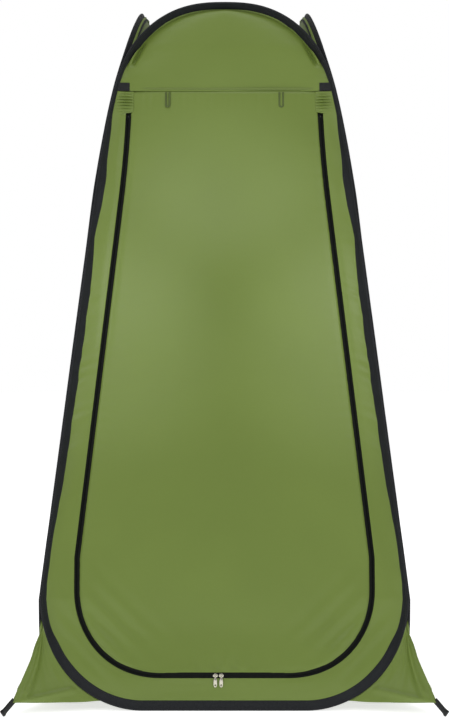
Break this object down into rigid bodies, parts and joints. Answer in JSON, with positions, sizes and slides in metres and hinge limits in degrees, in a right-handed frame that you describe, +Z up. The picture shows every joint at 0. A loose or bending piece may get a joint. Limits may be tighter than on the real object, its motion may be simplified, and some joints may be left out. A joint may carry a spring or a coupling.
{
  "type": "privacy shower tent",
  "caption": "Pop-up privacy shelter with four sprung-hoop fabric walls, arched roof, corner gussets with stake loops, and a U-shaped zip door.",
  "frame": {"origin": "centre of the floor area, at ground level", "axes": "+Z up, -Y out through the door, +X to the right of a person facing the door"},
  "size_m": [1.1896, 1.1896, 1.9566],
  "materials": {
    "fabric": "plain-weave coated polyester with a faint sheen",
    "binding": "black woven binding tape, matt",
    "webbing": "black woven webbing",
    "zip_tape": "black woven zip tape",
    "zip_teeth": "black nylon coil",
    "spring_steel": "bright spring steel wire",
    "zip_metal": "satin champagne plated zinc"
  },
  "bodies": {
    "front": {"front_hoop": "spring_steel", "front_ferrule": "spring_steel", "front_binding": "binding", "front_surround": "fabric", "front_dome": "fabric", "roof": "fabric", "gusset_front_left": "fabric", "gusset_front_right": "fabric", "stake_loop_front_left": "webbing", "stake_loop_front_right": "webbing", "corner_tab_left": "webbing", "corner_tab_right": "webbing", "zip_tape_frame": "zip_tape", "zip_coil_frame": "zip_teeth", "zip_stop_left": "zip_metal", "zip_stop_right": "zip_metal"},
    "right": {"right_hoop": "spring_steel", "right_ferrule": "spring_steel", "right_binding": "binding", "right_panel": "fabric", "gusset_back_right": "fabric", "stake_loop_back_right": "webbing"},
    "left": {"left_hoop": "spring_steel", "left_ferrule": "spring_steel", "left_binding": "binding", "left_panel": "fabric"},
    "back": {"back_hoop": "spring_steel", "back_ferrule": "spring_steel", "back_binding": "binding", "back_panel": "fabric", "gusset_back_left": "fabric", "stake_loop_back_left": "webbing"},
    "door": {"door": "fabric", "zip_tape_door": "zip_tape", "zip_coil_door": "zip_teeth"},
    "slider_left": {"slider_left": "zip_metal"},
    "slider_right": {"slider_right": "zip_metal"},
    "pull_left_outer": {"pull_left_outer": "zip_metal"},
    "pull_right_outer": {"pull_right_outer": "zip_metal"},
    "pull_left_inner": {"pull_left_inner": "zip_metal"},
    "pull_right_inner": {"pull_right_inner": "zip_metal"},
    "tie_loop_left": {"tie_loop_left": "fabric"},
    "tie_loop_right": {"tie_loop_right": "fabric"}
  },
  "joints": [
    {"name": "wall_fold", "type": "hinge", "parent": "front", "child": "right", "pos_m": [0.4996, -0.4996, 0.3], "axis": [0.1227, -0.1227, -0.9848], "range_deg": [0, 80], "deforming": ["roof", "gusset_front_right"]},
    {"name": "left_wall_fold", "type": "hinge", "parent": "front", "child": "left", "pos_m": [-0.4616, -0.4616, 0.3], "axis": [-0.1255, -0.1255, -0.9841], "range_deg": [0, 81], "deforming": ["gusset_front_left"]},
    {"name": "back_wall_fold", "type": "hinge", "parent": "right", "child": "back", "pos_m": [0.4616, 0.4616, 0.3], "axis": [-0.1255, -0.1255, 0.9841], "range_deg": [0, 81], "deforming": ["gusset_back_right", "gusset_back_left"]},
    {"name": "door_lift", "type": "hinge", "parent": "front", "child": "door", "pos_m": [0, -0.29212, 1.6986], "axis": [-1, 0, 0], "range_deg": [0, 80]},
    {"name": "slider_left_slide", "type": "slide", "parent": "front", "child": "slider_left", "axis": [-1, 0, 0], "range_m": [0, 0.13]},
    {"name": "slider_right_slide", "type": "slide", "parent": "front", "child": "slider_right", "axis": [1, 0, 0], "range_m": [0, 0.16]},
    {"name": "pull_left_outer_swing", "type": "hinge", "parent": "slider_left", "child": "pull_left_outer", "pos_m": [-0.0249, -0.50204, 0.096], "axis": [-1, 0, 0], "range_deg": [0, 150]},
    {"name": "pull_left_inner_swing", "type": "hinge", "parent": "slider_left", "child": "pull_left_inner", "pos_m": [-0.0249, -0.49124, 0.096], "axis": [1, 0, 0], "range_deg": [0, 150]},
    {"name": "pull_right_outer_swing", "type": "hinge", "parent": "slider_right", "child": "pull_right_outer", "pos_m": [-0.0089, -0.50204, 0.096], "axis": [-1, 0, 0], "range_deg": [0, 150]},
    {"name": "pull_right_inner_swing", "type": "hinge", "parent": "slider_right", "child": "pull_right_inner", "pos_m": [-0.0089, -0.49124, 0.096], "axis": [1, 0, 0], "range_deg": [0, 150]},
    {"name": "tie_loop_left_swing", "type": "hinge", "parent": "door", "child": "tie_loop_left", "pos_m": [-0.159, -0.29481, 1.695], "axis": [-1, 0, 0], "range_deg": [0, 80]},
    {"name": "tie_loop_right_swing", "type": "hinge", "parent": "door", "child": "tie_loop_right", "pos_m": [0.159, -0.29481, 1.695], "axis": [-1, 0, 0], "range_deg": [0, 80]}
  ],
  "couplings": [
    {"joint": "left_wall_fold", "follows": "wall_fold", "ratio": 1.005},
    {"joint": "back_wall_fold", "follows": "wall_fold", "ratio": 1.005}
  ]
}
